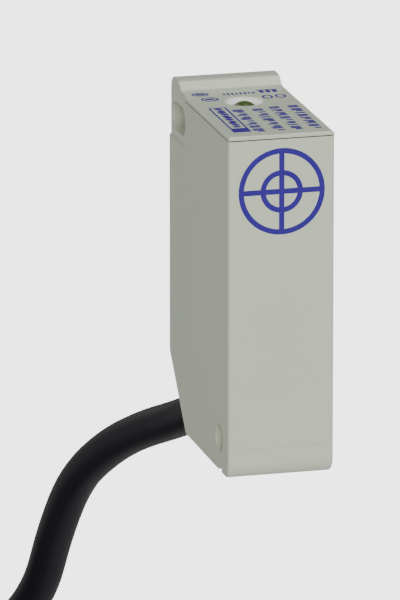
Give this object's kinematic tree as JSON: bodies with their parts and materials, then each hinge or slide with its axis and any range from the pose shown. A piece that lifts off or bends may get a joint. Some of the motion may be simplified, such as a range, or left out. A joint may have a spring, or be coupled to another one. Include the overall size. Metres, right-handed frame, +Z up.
{
  "type": "proximity sensor",
  "caption": "Block-shaped inductive proximity sensor with a target mark on its sensing face, a lug with a fixing slot, a signal light and a fixed cable.",
  "frame": {"origin": "middle of the lower fixing hole, on the sensor's middle plane", "axes": "+X across the 12 mm width, +Y from the sensing face to the back, +Z up towards the cover"},
  "size_m": [0.0889, 0.0919, 0.0946],
  "materials": {
    "housing_plastic": "satin",
    "cover_plastic": "satin",
    "light_pipe": "gloss",
    "chip_white": "satin",
    "board_laminate": "satin",
    "ferrite": "matte",
    "bobbin_plastic": "satin",
    "copper_wire": "gloss",
    "brass": "satin",
    "chip_black": "matte",
    "ceramic_tan": "satin",
    "solder": "satin",
    "insulation_brown": "satin",
    "insulation_blue": "satin",
    "insulation_black": "satin",
    "rubber_black": "matte",
    "cable_sheath": "satin",
    "resin": "matte",
    "tie_plastic": "satin",
    "tinned_copper": "satin"
  },
  "bodies": {
    "root": {"case": "housing_plastic", "cap": "cover_plastic", "led_lens": "light_pipe", "led_chip": "chip_white", "circuit_board": "board_laminate", "ferrite_core": "ferrite", "coil_bobbin": "bobbin_plastic", "sensing_coil": "copper_wire", "shield_ring": "brass", "coil_leads": "copper_wire", "oscillator_chip": "chip_black", "output_transistor": "chip_black", "voltage_regulator": "chip_black", "protection_diode": "chip_black", "capacitors": "ceramic_tan", "resistors": "chip_black", "solder_pads": "solder", "inner_lead_brown": "insulation_brown", "inner_lead_blue": "insulation_blue", "inner_lead_black": "insulation_black", "cable_bush": "rubber_black", "cable_end": "cable_sheath", "crimp_ring": "brass", "potting": "resin", "cable_tube": "cable_sheath", "cable_coil": "cable_sheath", "coil_ties": "tie_plastic", "tail_brown": "insulation_brown", "tail_blue": "insulation_blue", "tail_black": "insulation_black", "wire_ferrules": "tinned_copper"}
  },
  "joints": []
}
